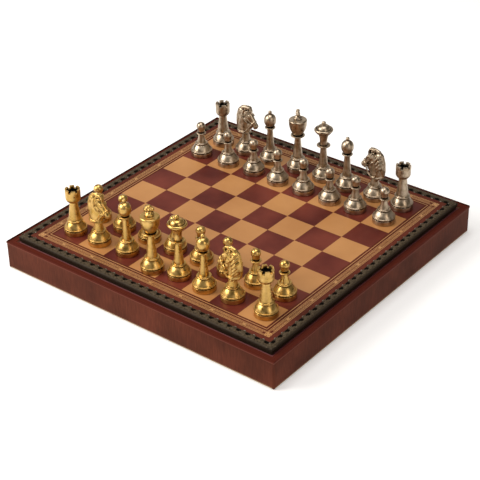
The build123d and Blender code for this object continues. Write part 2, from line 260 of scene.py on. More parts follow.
# %% Leather grain
def make_leather_group():
    """Pebbled grain: rounded cells with creases between them, upright streaks, slow tone."""
    group, start, end = new_group(
        "leather_grain", {"Cell Size": 0.8, "Softness": 0.35}, ("Height", "Tone", "Streak"))
    place = object_place(group)
    scale = maths(group, "DIVIDE", MM_IN_METRE, start.outputs["Cell Size"])
    warp = noise(group, place, 400.0)
    shift = add_node(
        group, "ShaderNodeVectorMath", {0: warp.outputs["Color"], "Scale": 0.0006}, operation="SCALE")
    spot = add_node(group, "ShaderNodeVectorMath", {0: place, 1: shift.outputs[0]})
    cells = add_node(
        group, "ShaderNodeTexVoronoi",
        {"Vector": spot.outputs[0], "Scale": scale, "Smoothness": start.outputs["Softness"]},
        feature="SMOOTH_F1")
    slow = noise(group, place, 22.0, 4.0)
    tall = add_node(group, "ShaderNodeMapping", {"Vector": place, "Scale": (620.0, 620.0, 70.0)})
    streak = noise(group, tall.outputs[0], 1.0)
    up = maths(group, "SUBTRACT", 1.0, cells.outputs["Distance"])
    group.links.new(up, end.inputs["Height"])
    group.links.new(slow.outputs["Fac"], end.inputs["Tone"])
    group.links.new(streak.outputs["Fac"], end.inputs["Streak"])
    return group


LEATHER_GRAIN = make_leather_group()
print("group:", LEATHER_GRAIN.name)

# %% Painted shade and grime in the hollows
OPEN_LIGHT, HIDDEN_LIGHT = 0.70, 0.30


def make_shade_and_grime_group():
    """A mask that is 1 in creases and undercuts: painted shade, with the dark patina of old metal."""
    group, start, end = new_group("hollow_shade_and_grime", {"Reach": 0.0015, "Strength": 1.0}, ("Mask",))
    # Painted shade: occlusion darkens creases and undercuts, where shade falls; the same mask stands for patina
    # there.
    hidden = add_node(
        group, "ShaderNodeAmbientOcclusion", {"Distance": start.outputs["Reach"]},
        samples=6, only_local=True)
    turned = remap(group, hidden.outputs["AO"], OPEN_LIGHT, HIDDEN_LIGHT)
    patch = noise(group, object_place(group), 260.0, 3.0)
    loose = maths(group, "ADD", patch.outputs["Fac"], 0.7)
    mask = maths(group, "MULTIPLY", turned, loose)
    power = maths(group, "MULTIPLY", mask, start.outputs["Strength"], clamp=True)
    group.links.new(power, end.inputs["Mask"])
    return group


SHADE_AND_GRIME = make_shade_and_grime_group()
print("group:", SHADE_AND_GRIME.name)


# %% Casting marks
def make_cast_group():
    """The faint waves and pits of a polished casting."""
    group, start, end = new_group("casting_marks", {"Wave Size": 3.0, "Pits": 0.35}, ("Height", "Mottle"))
    place = object_place(group)
    scale = maths(group, "DIVIDE", MM_IN_METRE, start.outputs["Wave Size"])
    waves = noise(group, place, scale, Roughness=0.45)
    grit = noise(group, place, 2600.0)
    pits = maths(group, "MULTIPLY", grit.outputs["Fac"], start.outputs["Pits"])
    total = maths(group, "ADD", waves.outputs["Fac"], pits)
    group.links.new(total, end.inputs["Height"])
    group.links.new(waves.outputs["Fac"], end.inputs["Mottle"])
    return group


CASTING = make_cast_group()
print("group:", CASTING.name)


# %% Start a material
def new_material(name, roughness, metallic=0.0):
    """A material, its node tree and its Principled shader."""
    material = bpy.data.materials.new(name)
    material.use_nodes = True
    tree = material.node_tree
    shader = tree.nodes["Principled BSDF"]
    shader.inputs["Roughness"].default_value = roughness
    shader.inputs["Metallic"].default_value = metallic
    return material, tree, shader


def paint(tree, shader, colour):
    tree.links.new(colour, shader.inputs["Base Color"])


def bump(tree, shader, height, strength, distance):
    """Tilt the shading by a height, in metres of relief."""
    node = add_node(tree, "ShaderNodeBump", {"Height": height, "Strength": strength, "Distance": distance})
    tree.links.new(node.outputs["Normal"], shader.inputs["Normal"])


def group_node(tree, group, **values):
    """Place a shared effect; an underscore in a socket's name stands for a space."""
    sockets = {label.replace("_", " "): value for label, value in values.items()}
    node = add_node(tree, "ShaderNodeGroup", node_tree=group)
    for label, value in sockets.items():
        node.inputs[label].default_value = value
    return node


# %% [markdown]
# ## Leathers
#
# Tiles, border and covering are pebbled leather and leatherette. Grain that catches the light
# says leather more than gloss does, so the gloss stays low. A slow change of tone keeps a wide
# sheet from looking flat, and the covering has fine upright streaks as well.

# %% Leathers
STREAK_SHADE = 0.45
GRAIN_STRENGTH = 0.35


def leather(name, low, high, roughness, gloss, cell=0.8, relief=0.00006, streaks=0.0):
    """Leather between two tones, with its cells in millimetres and its relief in metres."""
    material, tree, shader = new_material(name, roughness)
    grain = group_node(tree, LEATHER_GRAIN, Cell_Size=cell)
    tone = remap(tree, grain.outputs["Tone"], 0.33, 0.67)
    colour = blend_colours(tree, tone, low, high)
    fine = remap(tree, grain.outputs["Streak"], 0.3, 0.7, 0.0, streaks)
    paint(tree, shader, blend_colours(tree, fine, colour, tuple(STREAK_SHADE * v for v in low)))
    shader.inputs["Specular IOR Level"].default_value = gloss
    bump(tree, shader, grain.outputs["Height"], GRAIN_STRENGTH, relief)
    return material


SHEET = {"roughness": 0.62, "gloss": 0.06, "cell": 0.9, "relief": 0.00008, "streaks": 0.45}
BURGUNDY = leather("burgundy_leather", (0.090, 0.022, 0.013), (0.155, 0.036, 0.021), **SHEET)
DARK_TILE = leather("dark_tile_leather", (0.080, 0.011, 0.007), (0.165, 0.032, 0.019), 0.40, 0.13)
LIGHT_TILE = leather("light_tile_leather", (0.43, 0.190, 0.060), (0.51, 0.240, 0.082), 0.42, 0.28)
print("leathers:", BURGUNDY.name, DARK_TILE.name, LIGHT_TILE.name)

# %% [markdown]
# ## Rolled edge of the covering
#
# Along the rolled edge of the covering a pale line is painted: a painted highlight where the
# round edge catches the light. The flat ledge above it is made a deeper red. An edge mask would
# find every edge of the box. The rim lies at one known height, so two narrow ramps on height pick
# out the roll and the ledge, and nothing else.

# %% Covering leather
ROLL_HIGHLIGHT = (0.200, 0.066, 0.047)
LEDGE_DEEP = (0.085, 0.014, 0.007)


def add_edge_highlight(material, height):
    """Paint a highlight on a leather where it rolls over an edge at this height, and deepen it above."""
    tree = material.node_tree
    shader = tree.nodes["Principled BSDF"]
    body = shader.inputs["Base Color"].links[0].from_socket
    up = add_node(tree, "ShaderNodeSeparateXYZ", {0: object_place(tree)}).outputs["Z"]
    # Painted highlight: a pale band on the round edge, where it catches the light; the flat ledge above is made
    # deeper.
    highlight_band = remap(tree, up, (height - 1.3) * MM, (height - 0.5) * MM)
    flat = remap(tree, up, (height - 0.50) * MM, (height - 0.28) * MM)
    highlighted = blend_colours(tree, highlight_band, body, ROLL_HIGHLIGHT)
    paint(tree, shader, blend_colours(tree, flat, highlighted, LEDGE_DEEP))


COVERING = leather("covering_leather", (0.086, 0.023, 0.012), (0.150, 0.038, 0.020), **SHEET)
add_edge_highlight(COVERING, LEDGE)
print("covering:", COVERING.name, "nodes:", len(COVERING.node_tree.nodes))

# %% [markdown]
# ## Gold and silver plate
#
# The men are plated castings. The plate is bright on open shapes and dark in grooves: painted
# shade, together with the dark patina that polish can't reach. It could be painted by hand. The
# shared mask finds the hollows on every man instead, and the casting marks bend the reflections
# and change the tone a little.

# %% Metals
DIRTY_ROUGHNESS = 0.6


def metal(name, deep, bright, shade_and_grime, roughness, waves, reach, strength, relief, metallic=1.0):
    """A casting. waves is in millimetres; the reach of the shade and grime mask and the relief are in metres."""
    material, tree, shader = new_material(name, roughness, metallic)
    marks = group_node(tree, CASTING, Wave_Size=waves)
    shade_and_dirt = group_node(tree, SHADE_AND_GRIME, Reach=reach, Strength=strength)
    patch = remap(tree, marks.outputs["Mottle"], 0.22, 0.68)
    body = blend_colours(tree, patch, deep, bright)
    # Painted shade and grime: the mask turns the hollows towards a near black.
    paint(tree, shader, blend_colours(tree, shade_and_dirt.outputs["Mask"], body, shade_and_grime))
    worn = remap(tree, marks.outputs["Mottle"], 0.3, 0.7, 0.75 * roughness, 1.3 * roughness)
    rough = remap(tree, shade_and_dirt.outputs["Mask"], 0.0, 1.0, worn, DIRTY_ROUGHNESS)
    tree.links.new(rough, shader.inputs["Roughness"])
    bump(tree, shader, marks.outputs["Height"], 0.6, relief)
    return material


MOULDED = {
    "gold": metal(
        "gold_metal", (0.47, 0.275, 0.060), (0.74, 0.475, 0.160), (0.055, 0.022, 0.003),
        roughness=0.33, waves=4.5, reach=0.0021, strength=1.3, relief=0.00009),
    "silver": metal(
        "silver_metal", (0.24, 0.170, 0.103), (0.58, 0.470, 0.350), (0.018, 0.010, 0.005),
        roughness=0.35, waves=4.5, reach=0.0023, strength=1.9, relief=0.00009),
}
# Paler worn metal with a painted highlight, for the curled leaf tips.
WORN_BRONZE_AND_HIGHLIGHT = metal(
    "worn_bronze_and_highlight", (0.15, 0.13, 0.10), (0.32, 0.29, 0.24), (0.03, 0.025, 0.02),
    roughness=0.36, waves=2.0, reach=0.001, strength=0.8, relief=0.0001, metallic=0.8)
print("metals:", sorted(MOULDED), WORN_BRONZE_AND_HIGHLIGHT.name)

# %% [markdown]
# ## Dark bronze and painted black shade
#
# The moulding is blackened bronze, a dull brown on its top and nearly black lower down, so the
# colour follows height. Its creases are darkened by painted shade with some grime. The deepest
# hollows are painted shade as well: a black with no shine, so it's a finish of its own.

# %% Bronze and painted black shade
BRONZE_DARK = (0.026, 0.016, 0.008)
DEEPEST_SHADE_AND_GRIME = (0.004, 0.003, 0.002)


def bronze(name):
    """Dark bronze: brown on the high places, nearly black below them; painted shade in the creases."""
    material, tree, shader = new_material(name, 0.55, 0.15)
    shader.inputs["Specular IOR Level"].default_value = 0.18
    marks = group_node(tree, CASTING, Wave_Size=2.5, Pits=0.5)
    shade_and_dirt = group_node(tree, SHADE_AND_GRIME, Reach=0.003, Strength=1.2)
    up = add_node(tree, "ShaderNodeSeparateXYZ", {0: object_place(tree)}).outputs["Z"]
    height_ramp = remap(tree, up, (SURFACE - 0.1) * MM, (SURFACE + 0.9) * MM)
    top = blend_colours(tree, marks.outputs["Mottle"], (0.042, 0.028, 0.015), (0.118, 0.085, 0.049))
    body = blend_colours(tree, height_ramp, BRONZE_DARK, top)
    # Painted shade and grime: the mask turns the creases nearly black.
    paint(tree, shader, blend_colours(tree, shade_and_dirt.outputs["Mask"], body, DEEPEST_SHADE_AND_GRIME))
    bump(tree, shader, marks.outputs["Height"], 0.8, 0.0005)
    return material


def shade_black_material(name):
    """Painted shade: dull black, with no shine at all."""
    material, tree, shader = new_material(name, 0.95)
    marks = group_node(tree, CASTING, Wave_Size=1.0)
    paint(tree, shader, blend_colours(
        tree, marks.outputs["Mottle"], (0.002, 0.0014, 0.001), (0.007, 0.005, 0.003)))
    shader.inputs["Specular IOR Level"].default_value = 0.05
    return material


BRONZE = bronze("bronze_patina")
PAINTED_SHADE_BLACK = shade_black_material("painted_shade_black")
print("bronzes:", BRONZE.name, PAINTED_SHADE_BLACK.name)

# %% [markdown]
# ## Cloth, wood and foil
#
# Felt protects the undersides, flock lines the tray, and the panels under the leather are
# plain wood. They show only when something is lifted, so one noise each is enough. The foil is
# barely metallic, because gold leaf pressed into leather looks more like paint than like plate.


# %% Cloth, wood and foil
def felt(name, low, high):
    material, tree, shader = new_material(name, 0.95)
    fuzz = noise(tree, object_place(tree), 1500.0, 4.0).outputs["Fac"]
    paint(tree, shader, blend_colours(tree, fuzz, low, high))
    shader.inputs["Sheen Weight"].default_value = 0.4
    bump(tree, shader, fuzz, 0.6, 0.0002)
    return material


def wood(name):
    material, tree, shader = new_material(name, 0.6)
    stretch = add_node(
        tree, "ShaderNodeMapping", {"Vector": object_place(tree), "Scale": (6.0, 160.0, 160.0)})
    grain = noise(tree, stretch.outputs[0], 1.6, 6.0).outputs["Fac"]
    paint(tree, shader, blend_colours(tree, grain, (0.30, 0.17, 0.08), (0.55, 0.38, 0.20)))
    bump(tree, shader, grain, 0.3, 0.0002)
    return material


def foil(name):
    material, tree, shader = new_material(name, 0.42, 0.25)
    marks = group_node(tree, CASTING, Wave_Size=6.0)
    paint(tree, shader, blend_colours(
        tree, marks.outputs["Mottle"], (0.52, 0.25, 0.085), (0.70, 0.39, 0.150)))
    bump(tree, shader, marks.outputs["Height"], 0.3, 0.00004)
    return material


GOLD_FOIL = foil("gold_foil")
GREEN_FELT = felt("green_felt", (0.01, 0.04, 0.02), (0.03, 0.09, 0.05))
RED_FLOCK = felt("red_flock", (0.10, 0.008, 0.01), (0.20, 0.02, 0.025))
PLAIN_WOOD = wood("plain_wood")
print("materials in all:", len(bpy.data.materials))

# %% [markdown]
# ## Finishing a piece
#
# Every new piece ends the same way: it is scaled to metres and put in its place, soft edges are
# told from sharp ones, and it is tied to the body that carries it.

# %% Turn a bmesh into a finished piece
SHARP = 38.0


def finish_piece(name, bm, material, body, node=None, place=(0, 0, 0), turn=0.0, sharp=SHARP):
    """Place a copy of bm (millimetres) in the frame as an object at the origin."""
    copy = bm.copy()
    move = Matrix.Translation(Vector(place)) @ Matrix.Rotation(math.radians(turn), 4, "Z")
    bmesh.ops.transform(copy, matrix=Matrix.Scale(MM, 4) @ move, verts=copy.verts)
    mesh = bpy.data.meshes.new(name)
    copy.to_mesh(mesh)
    copy.free()
    mesh.shade_smooth()
    mesh.set_sharp_from_angle(angle=math.radians(sharp))
    mesh.materials.append(material)
    piece = bpy.data.objects.new(name, mesh)
    bpy.context.scene.collection.objects.link(piece)
    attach(piece, body)
    if node:
        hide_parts(node)
    return piece


def tidy_normals(bm, merge=0.001):
    """Merge doubles first, then turn every face outwards."""
    bmesh.ops.remove_doubles(bm, verts=bm.verts, dist=merge)
    bmesh.ops.recalc_face_normals(bm, faces=bm.faces)


# %% [markdown]
# ## Turned work
#
# A lathe makes a shape from one outline. Blender's spin does the same: the outline is a chain
# of edges in the X-Z plane, and it is carried round the Z axis and merged where it meets
# itself. Arcs of the outline are given by the point they pass through and the point they end
# at, so a dome is one line of the list.

# %% Outlines with arcs
LATHE_SEGMENTS = 56
EDGE_SOFTENING = 0.10


def arc_points(a, b, c, count):
    """Points from a to c on the circle through a, b and c, without a itself."""
    (ax, ay), (bx, by), (cx, cy) = a, b, c
    d = 2 * (ax * (by - cy) + bx * (cy - ay) + cx * (ay - by))
    if abs(d) < 1e-9:
        return [c]
    sa, sb, sc = ax * ax + ay * ay, bx * bx + by * by, cx * cx + cy * cy
    ox = (sa * (by - cy) + sb * (cy - ay) + sc * (ay - by)) / d
    oy = (sa * (cx - bx) + sb * (ax - cx) + sc * (bx - ax)) / d
    radius = math.hypot(ax - ox, ay - oy)
    first = math.atan2(ay - oy, ax - ox)
    angles = [first]
    for x, y in (b, c):
        angle = math.atan2(y - oy, x - ox)
        angle += round((angles[-1] - angle) / math.tau) * math.tau
        angles.append(angle)
    step = (angles[2] - first) / count
    return [(ox + radius * math.cos(first + step * i), oy + radius * math.sin(first + step * i))
            for i in range(1, count + 1)]


def outline(steps, arc_count=9):
    """A list of (radius, height) points; a (middle, end) pair stands for an arc."""
    points = [steps[0]]
    for step in steps[1:]:
        if isinstance(step[0], tuple):
            points += arc_points(points[-1], step[0], step[1], arc_count)
        else:
            points.append(step)
    return points


def spun(points, segments):
    """Carry a chain of (radius, height) points round the Z axis."""
    bm = bmesh.new()
    verts = [bm.verts.new((r, 0, z)) for r, z in points]
    edges = [bm.edges.new(pair) for pair in zip(verts, verts[1:])]
    bmesh.ops.spin(
        bm, geom=verts + edges, cent=(0, 0, 0), axis=(0, 0, 1), angle=math.tau,
        steps=segments, use_merge=True)
    tidy_normals(bm)
    return bm


def ridges_of(bm, degrees):
    """Edges whose two faces meet at more than an angle."""
    limit = math.radians(degrees)
    return [e for e in bm.edges if len(e.link_faces) == 2 and e.calc_face_angle() > limit]


def round_edges(bm, edges, offset, segments=2, clamp=True):
    bmesh.ops.bevel(
        bm, geom=edges, offset=offset, segments=segments, profile=0.5, affect="EDGES", material=-1,
        clamp_overlap=clamp)


def lathe(steps):
    """Spin an outline into a closed turned shape with slightly softened edges."""
    bm = spun(outline(steps), LATHE_SEGMENTS)
    round_edges(bm, ridges_of(bm, SHARP), EDGE_SOFTENING)
    return bm


def join(target, other):
    """Add other's geometry to target and free it."""
    mesh = bpy.data.meshes.new("join")
    other.to_mesh(mesh)
    other.free()
    target.from_mesh(mesh)
    bpy.data.meshes.remove(mesh)


def stamp(target, motif, matrix):
    """Add a moved copy of a motif to target; the motif stays for the next copy."""
    copy = motif.copy()
    bmesh.ops.transform(copy, matrix=matrix, verts=copy.verts)
    join(target, copy)


print("a half circle in two steps:", arc_points((1.0, 0.0), (0.0, 1.0), (-1.0, 0.0), 2))

# %% [markdown]
# ## The foot that every man shares
#
# All thirty-two men stand on the same foot: a drum, a fine groove, a polished dome with an
# upright lip, and a bead where the stem begins. Sharing one outline keeps the row even.

# %% Foot
PLINTH_TOP = 5.3
GROOVE_TOP = 6.2
GROOVE_DEPTH = 1.5
LIP_TOP = 7.4
DOME_RADIUS, DOME_TOP = 7.0, 14.4
BEAD_HEIGHT = 1.6
STEM_FOOT = DOME_TOP + BEAD_HEIGHT
PAD_RADIUS = 11.0
PAD_HEIGHT = 0.8


def foot(bead):
    """Outline from the recess for the felt up to the bead."""
    r, waist = PLINTH_RADIUS, DOME_RADIUS - 0.9
    return [
        (0.0, PAD_HEIGHT), (PAD_RADIUS, PAD_HEIGHT), (PAD_RADIUS, 0.2), (r - 0.5, 0.2),
        ((r - 0.13, 0.35), (r, 0.75)), (r, PLINTH_TOP - 0.3),
        ((r - 0.1, PLINTH_TOP - 0.08), (r - 0.3, PLINTH_TOP)),
        (r - GROOVE_DEPTH, PLINTH_TOP), (r - GROOVE_DEPTH, GROOVE_TOP), (r - 0.25, GROOVE_TOP),
        ((r, GROOVE_TOP + 0.1), (r + 0.1, GROOVE_TOP + 0.65)),
        ((r, LIP_TOP - 0.15), (r - 0.3, LIP_TOP + 0.05)), (r - 1.0, LIP_TOP + 0.1),
        ((9.2, 11.2), (DOME_RADIUS, DOME_TOP - 0.5)), (waist, DOME_TOP - 0.4), (waist, DOME_TOP + 0.2),
        ((bead + 0.1, DOME_TOP + 0.9), (DOME_RADIUS - 0.6, STEM_FOOT)),
    ]


print("foot: radius", round(PLINTH_RADIUS, 2), "stem starts at", STEM_FOOT)

# %% [markdown]
# ## Stem, collar and black waist
#
# A stem is one long curve from a bead to a thin neck. Four kinds of man then have a dished
# collar with a gap above it. That gap lies in deep shade, and for the pawn, bishop and king the
# shade is painted in: a mask would leave it grey, so a thin black sleeve and washer, turned in
# one piece, keeps it black.

# %% Stem, collar, black waist and ball
COLLAR_HEIGHT = 2.0
COLLARS = {
    "pawn": {"neck": 3.1, "rim": 5.4, "z": 26.4, "gap": 3.2},
    "bishop": {"neck": 3.1, "rim": 5.8, "z": 41.4, "gap": 3.4},
    "queen": {"neck": 3.3, "rim": 7.4, "z": 41.0, "gap": 4.1},
    "king": {"neck": 3.3, "rim": 7.8, "z": 42.4, "gap": 4.7},
}


def stem(low, neck, top):
    middle = (neck + 0.36 * (low - neck), STEM_FOOT + 0.5 * (top - STEM_FOOT))
    start = [(low + 0.5, STEM_FOOT), ((low, STEM_FOOT + 0.3), (low - 0.1, STEM_FOOT + 0.8))]
    return start + [(middle, (neck, top))]


def saucer(neck, rim, z, gap):
    """A thin dished collar under a head, with a deep dark gap above it."""
    top = z + COLLAR_HEIGHT
    return [
        ((neck + 0.6 * (rim - neck), z + 0.2), (rim - 0.3, z + 0.6)),
        ((rim + 0.15, z + 1.1), (rim - 0.5, top - 0.1)),
        (rim - 1.7, top + 0.25), (rim - 2.0, top - 0.3), (gap, top - 0.6), (gap, top + 1.1),
    ]


def collared(kind, bead, low):
    """Outline of a man from the felt up to the gap above the collar."""
    collar = COLLARS[kind]
    return foot(bead) + stem(low, collar["neck"], collar["z"]) + saucer(**collar)


def black_waist(kind):
    """Painted shade in the gap above a collar: a black sleeve and a washer in one turned piece."""
    top = COLLARS[kind]["z"] + COLLAR_HEIGHT
    edge, sleeve = COLLARS[kind]["rim"] - 1.95, COLLARS[kind]["gap"] + 0.08
    return lathe([
        (0.0, top - 0.5), (edge, top - 0.32), (edge, top - 0.15), (sleeve, top - 0.35),
        (sleeve, top + 1.25), (0.0, top + 1.3)])


def ball(radius, centre, start):
    low = centre - math.sqrt(radius ** 2 - start ** 2)
    return [(start, low), ((radius, centre), (0.0, centre + radius))]


BLACKS = {kind: black_waist(kind) for kind in ("pawn", "bishop", "king")}
print("black waists:", {kind: len(bm.faces) for kind, bm in BLACKS.items()})

# %% [markdown]
# ## Pawn and bishop
#
# The two plainest men are pure lathe work. The pawn ends in a ball on a short neck, the bishop
# in an onion-shaped head with a bud on top.


# %% Pawn and bishop
def make_pawn():
    return lathe(collared("pawn", 7.2, 5.2) + [(3.9, 30.3)] + ball(5.1, 36.0, 3.9))


def make_bishop():
    head = [(4.3, 44.9), ((6.25, 48.0), (6.75, 52.0)), ((5.4, 56.7), (1.5, 59.4))]
    return lathe(collared("bishop", 7.7, 5.1) + head + ball(2.1, 61.2, 1.2))


SHAPES = {"pawn": make_pawn(), "bishop": make_bishop()}
print("faces:", {kind: len(bm.faces) for kind, bm in SHAPES.items()})

# %% [markdown]
# ## Queen
#
# The queen's head is a slim goblet under a rolled crown. A ring of small gadroons runs under
# the crown. They are squashed spheres set round the axis by a loop, half sunk in the goblet.

# %% Queen
GADROONS = 24


def ring_of(bm, count, radius, z, size, lean):
    """Small ovals set round the axis. size is the half length along r, round the ring and up."""
    for i in range(count):
        turn = Matrix.Rotation(math.tau * (i + 0.5) / count, 4, "Z")
        place = Matrix.Translation((radius, 0, z)) @ Matrix.Rotation(math.radians(lean), 4, "Y")
        matrix = turn @ place @ Matrix.Diagonal((*size, 1))
        bmesh.ops.create_uvsphere(bm, u_segments=8, v_segments=6, radius=1.0, matrix=matrix)


def make_queen():
    goblet = [
        (4.2, 46.0), ((5.3, 54.0), (8.3, 59.2)), ((10.4, 61.2), (9.0, 62.9)), (8.2, 62.7),
        ((8.1, 61.4), (7.6, 61.6)), ((6.4, 65.0), (2.4, 66.9)), (1.7, 67.2),
    ]
    bm = lathe(collared("queen", 7.4, 5.4) + goblet + ball(2.4, 69.1, 1.6))
    ring_of(bm, GADROONS, 7.9, 58.4, (0.75, 0.8, 2.0), 36)
    return bm


SHAPES["queen"] = make_queen()
print("queen faces:", len(SHAPES["queen"].faces))

# %% [markdown]
# ## King
#
# The king carries an urn-shaped head with a shallow lid and a cross on top. The cross is small
# and rounded: four flared arms round a boss, on a foot of two small scrolls. Each part is a
# squashed sphere, because a casting has no sharp corner there. The two kings stand with their
# crosses turned differently.

# %% King
KINGS_TURN = {"gold": 40.0, "silver": -50.0}
CROSS_MIDDLE = 70.6
ARM_REACH = 3.3


def oval(bm, place, size, tilt=(0, 0, 0), segments=14):
    """A sphere stretched to half lengths, tilted in degrees, at a place."""
    matrix = Matrix.Translation(place) @ Euler([math.radians(a) for a in tilt]).to_matrix().to_4x4()
    bmesh.ops.create_uvsphere(
        bm, u_segments=segments, v_segments=max(6, segments // 2), radius=1.0,
        matrix=matrix @ Matrix.Diagonal((*size, 1)))


def turn_flat(bm, degrees):
    """Turn a whole bmesh about the Z axis."""
    matrix = Matrix.Rotation(math.radians(degrees), 3, "Z")
    bmesh.ops.rotate(bm, verts=bm.verts, cent=(0, 0, 0), matrix=matrix)


def make_king(cross_turn):
    urn = [
        (5.2, 45.6), ((5.7, 45.8), (6.2, 46.6)), ((9.1, 53.0), (10.0, 61.0)), ((9.95, 62.5), (9.2, 63.2)),
        (8.3, 63.25), ((6.2, 63.3), (4.4, 63.9)), (4.1, 63.8), ((4.9, 65.0), (4.2, 66.2)),
        ((3.0, 67.4), (2.4, 68.6)), (0.0, 69.0),
    ]
    bm = lathe(collared("king", 8.0, 5.8) + urn)
    cross = bmesh.new()
    oval(cross, (0, 0, CROSS_MIDDLE), (4.0, 1.7, 4.0), (0, 0, 0), 18)
    oval(cross, (0, 0, CROSS_MIDDLE), (1.5, 2.7, 1.5))
    for side in (-1, 1):
        oval(cross, (2.9 * side, 0, 66.6), (1.7, 2.0, 1.2), (0, -25 * side, 0), 10)
    for i in range(4):
        x, z = math.sin(math.radians(90 * i)), math.cos(math.radians(90 * i))
        oval(cross, (ARM_REACH * x, 0, CROSS_MIDDLE + ARM_REACH * z), (1.8, 2.2, 1.8), (0, 90 * i, 0))
    turn_flat(cross, cross_turn)
    join(bm, cross)
    return bm


KINGS = {colour: make_king(turn) for colour, turn in KINGS_TURN.items()}
print("king faces:", {colour: len(bm.faces) for colour, bm in KINGS.items()})

# %% [markdown]
# ## Rook
#
# The tower's shaft and crown are laid in courses of stone. Spin gives a smooth wall first.
# Then the faces of each stone are chosen together and inset as one region, which leaves a
# shallow joint all round it. The merlons are grown upwards from the top of the wall by
# extruding five of every eight faces. A thin black cup, painted shade, lines the well inside
# the crown.

# %% Rook
ROOK_SEGMENTS = 48
MERLONS = 6
MERLON_FACES = 5
MERLON_HEIGHT = 2.7
STONE_FACES = 6
COURSE_HEIGHT = 3.28
CROWN_FOOT = 41.0
CROWN_JOINT = CROWN_FOOT + 3.9
CROWN_TOP = 49.3
ROOK_WELL = 5.7


def face_place(face):
    """Angle round the axis in segments, radius and height of a face's middle."""
    middle = face.calc_center_median()
    angle = math.atan2(middle.y, middle.x) / math.tau * ROOK_SEGMENTS
    return angle % ROOK_SEGMENTS, math.hypot(middle.x, middle.y), middle.z


def looks_outward(face):
    flat = face.normal.xy
    return flat.length > 0.5 and flat.dot(face.calc_center_median().xy) > 0


def lay_stones(bm, courses):
    """Press a joint round every stone. courses are (low, high) heights."""
    for number, (low, high) in enumerate(courses):
        stones = {}
        for face in bm.faces:
            angle, radius, z = face_place(face)
            if low < z < high and looks_outward(face):
                shifted = angle + (STONE_FACES / 2) * (number % 2)
                key = int(shifted % ROOK_SEGMENTS // STONE_FACES)
                stones.setdefault(key, []).append(face)
        for faces in stones.values():
            bmesh.ops.inset_region(bm, faces=faces, thickness=0.12, depth=0.014, use_even_offset=True)


def make_well():
    """Painted shade inside the crown: a thin black cup in the well."""
    low, high, r = CROWN_TOP - 2.85, CROWN_TOP - 0.25, ROOK_WELL - 0.06
    return lathe([
        (0.0, low), (r - 0.4, low), (r, low + 0.4), (r, high), (r - 0.05, high),
        (r - 0.05, low + 0.5), (0.0, low + 0.1)])


def grow_merlons(bm):
    """Raise five of every eight faces of the wall's top."""
    per_merlon = ROOK_SEGMENTS // MERLONS
    top = [f for f in bm.faces if f.normal.z > 0.9 and abs(f.calc_center_median().z - CROWN_TOP) < 0.01]
    rim = [f for f in top
           if face_place(f)[1] > ROOK_WELL and int(face_place(f)[0]) % per_merlon < MERLON_FACES]
    grown = bmesh.ops.extrude_face_region(bm, geom=rim)["geom"]
    raised = [v for v in grown if isinstance(v, bmesh.types.BMVert)]
    bmesh.ops.translate(bm, verts=raised, vec=(0, 0, MERLON_HEIGHT))
    bmesh.ops.delete(bm, geom=rim, context="FACES")
    tidy_normals(bm)


def make_rook():
    shaft_z = [STEM_FOOT + 0.8 + COURSE_HEIGHT * i for i in range(7)]
    shaft = [(4.3 + 2.4 * ((36.5 - z) / 20.0) ** 1.3, z) for z in shaft_z]
    points = outline(foot(8.2) + [(7.3, STEM_FOOT)] + shaft)
    points += arc_points((4.3, 36.6), (6.7, 38.5), (8.0, CROWN_FOOT), 5)
    points += [(8.0, CROWN_JOINT), (8.1, CROWN_TOP), (ROOK_WELL, CROWN_TOP)]
    points += [(ROOK_WELL, CROWN_TOP - 2.9), (0.0, CROWN_TOP - 3.1)]
    bm = spun(points, ROOK_SEGMENTS)
    grow_merlons(bm)
    lay_stones(bm, list(zip(shaft_z, shaft_z[1:])))
    lay_stones(bm, [(CROWN_FOOT, CROWN_JOINT), (CROWN_JOINT, CROWN_TOP)])
    round_edges(bm, [e for e in ridges_of(bm, 50) if e.verts[0].co.z > CROWN_TOP - 0.1], 0.35)
    return bm


SHAPES["rook"] = make_rook()
BLACKS["rook"] = make_well()
print("rook faces:", len(SHAPES["rook"].faces), "well faces:", len(BLACKS["rook"].faces))

# %% [markdown]
# ## Knight
#
# A horse's head can't be turned. Here its neck and its head are each a chain of oval hoops,
# joined hoop to hoop with bridge loops. Cheeks, lips and eyes are squashed spheres, and the
# crest, mane, reins and bridle are tubes along short paths. A voxel remesh melts all of it
# into one skin, as the founder's wax would be, and a light smoothing takes the steps out.


# %% Hoops and tubes
def hoop(bm, centre, forward, half, wide, count=20):
    """An oval hoop about centre. forward is its in-plane direction on the X-Z plane."""
    flat = Vector((forward[0], 0, forward[1])).normalized()
    side = Vector((0, 1, 0))
    normal = flat.cross(side)
    frame_matrix = Matrix((flat * half, side * wide, normal)).transposed().to_4x4()
    matrix = Matrix.Translation((centre[0], 0, centre[1])) @ frame_matrix
    made = bmesh.ops.create_circle(bm, segments=count, radius=1.0, matrix=matrix)["verts"]
    return list({e for v in made for e in v.link_edges})


def bridge(bm, loops):
    """Join loops of edges one to the next and close both ends."""
    for low, high in zip(loops, loops[1:]):
        bmesh.ops.bridge_loops(bm, edges=low + high)
    for loop in (loops[0], loops[-1]):
        bmesh.ops.contextual_create(bm, geom=loop)


def skin(hoops):
    """A closed skin over a list of hoops: (centre, forward, half length, half width)."""
    bm = bmesh.new()
    loops = [hoop(bm, *h) for h in hoops]
    bridge(bm, loops)
    tidy_normals(bm)
    return bm


